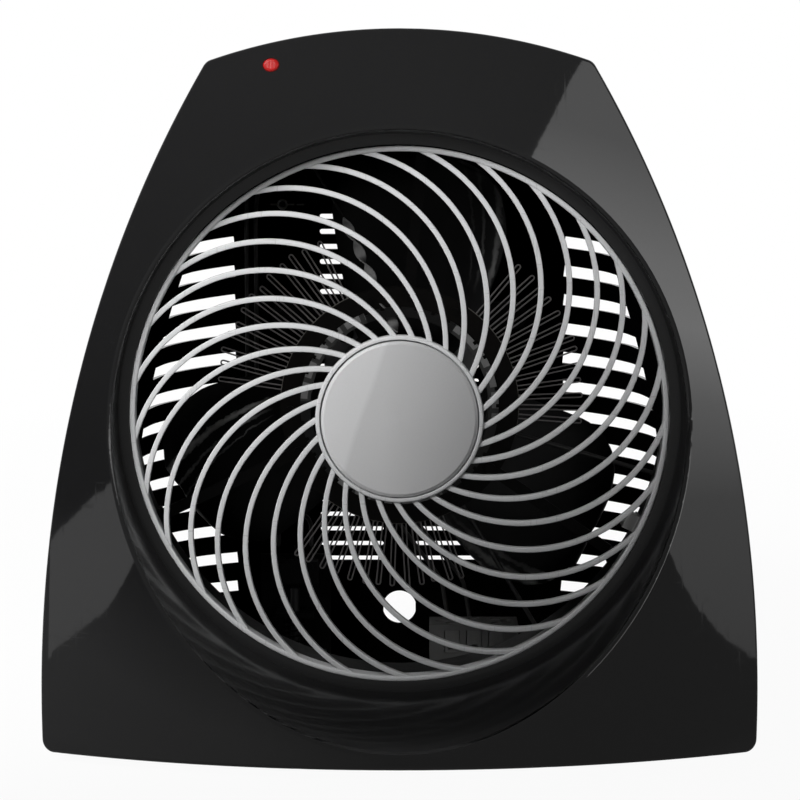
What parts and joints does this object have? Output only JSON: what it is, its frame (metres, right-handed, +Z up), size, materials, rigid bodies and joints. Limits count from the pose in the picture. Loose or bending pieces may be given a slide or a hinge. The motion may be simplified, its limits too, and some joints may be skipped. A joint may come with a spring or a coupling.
{
  "type": "fan heater",
  "caption": "Portable fan heater with a leaning glossy face, deep round dish, bowed spiral grille, zig-zag wire element, fan, motor and knobs on the sloping top.",
  "frame": {"origin": "on the floor under the middle of the body", "axes": "+Z up, -Y towards the front face, +X to the viewer's right when facing the grille; the fan axis runs along Y"},
  "size_m": [0.2746, 0.1998, 0.2784],
  "materials": {
    "dark_duct": "black stove enamel",
    "base_black": "black paint",
    "zinc": "bright zinc",
    "badge_spun": "spun satin",
    "steatite": "unglazed white ceramic",
    "black_gloss": "polished black moulding",
    "drum_steel": "plain steel",
    "lead_jacket": "silicone jacket",
    "fan_black": "dark moulding",
    "foot_rubber": "soft rubber",
    "silver_satin": "satin silver coat",
    "black_satin": "satin black moulding",
    "coil_wire": "dark resistance wire",
    "lamp_glass": "clear bulb",
    "red_lens": "clear red",
    "mica": "mica sheet",
    "bronze": "sintered bronze",
    "motor_cover": "die cast",
    "isolator_rubber": "soft rubber",
    "shaft_steel": "ground steel",
    "copper": "enamelled copper",
    "lamination": "stacked sheet",
    "brass": "plain brass",
    "cutout_silver": "drawn can",
    "blade_steel": "bimetal strip",
    "case_resin": "dark resin",
    "spring_wire": "music wire"
  },
  "bodies": {
    "cabinet": {"air_duct": "dark_duct", "base_plate": "base_black", "base_screws": "zinc", "bracket_screws": "zinc", "centre_badge": "badge_spun", "ceramic_beads": "steatite", "control_nuts": "zinc", "control_panel": "black_gloss", "element_drum": "drum_steel", "element_leads": "lead_jacket", "element_legs": "drum_steel", "element_screws": "zinc", "feet": "foot_rubber", "floor_screws": "zinc", "front_grille": "silver_satin", "front_shell": "black_gloss", "heating_coil_1": "coil_wire", "heating_coil_2": "coil_wire", "heating_coil_3": "coil_wire", "indicator_lamp": "lamp_glass", "indicator_lens": "red_lens", "inner_screws": "zinc", "lamp_holder": "black_satin", "mica_front": "mica", "mica_rear": "mica", "mica_rivets": "zinc", "microswitch": "black_satin", "motor_bolts": "zinc", "motor_bracket": "zinc", "motor_bushes": "bronze", "motor_front_cover": "motor_cover", "motor_isolators": "isolator_rubber", "motor_leads": "lead_jacket", "motor_nuts": "zinc", "motor_rear_cover": "motor_cover", "motor_windings": "copper", "rear_shell": "black_gloss", "shell_screws": "zinc", "stator_core": "lamination", "switch_case": "black_satin", "switch_leads": "lead_jacket", "terminal_block": "steatite", "terminal_clamps": "brass", "terminal_pins": "brass", "thermal_cutout": "cutout_silver", "thermal_fuse": "cutout_silver", "thermostat_blade": "blade_steel", "thermostat_case": "case_resin", "tip_guide": "black_satin", "tip_spring": "spring_wire"},
    "fan_rotor": {"fan": "fan_black", "fan_nut": "zinc", "motor_shaft": "shaft_steel", "rotor": "lamination"},
    "thermostat_dial": {"thermostat_knob": "black_satin", "thermostat_shaft": "shaft_steel"},
    "heat_dial": {"heat_knob": "black_satin", "switch_shaft": "shaft_steel"},
    "plunger": {"tip_plunger": "black_satin"},
    "switch_button": {"microswitch_button": "black_satin"}
  },
  "joints": [
    {"name": "fan_spin", "type": "hinge", "parent": "cabinet", "child": "fan_rotor", "pos_m": [0, 0.06, 0.1308], "axis": [0, 1, 0], "continuous": true},
    {"name": "thermostat_turn", "type": "hinge", "parent": "cabinet", "child": "thermostat_dial", "pos_m": [0.026, 0.02, 0.25896], "axis": [0, -0.1736, -0.9848], "range_deg": [0, 270]},
    {"name": "heat_turn", "type": "hinge", "parent": "cabinet", "child": "heat_dial", "pos_m": [-0.026, 0.02, 0.25896], "axis": [0, -0.1736, -0.9848], "range_deg": [0, 135]},
    {"name": "tip_plunger_slide", "type": "slide", "parent": "cabinet", "child": "plunger", "axis": [0, 0, 1], "range_m": [-0.004, 0], "stiffness_N_per_m": 60, "springref_m": -0.004, "deforming": ["tip_spring"]},
    {"name": "switch_button_slide", "type": "slide", "parent": "cabinet", "child": "switch_button", "axis": [0, 0, 1], "range_m": [-0.0016, 0]}
  ],
  "couplings": [
    {"joint": "switch_button_slide", "follows": "tip_plunger_slide", "ratio": 0.4}
  ]
}
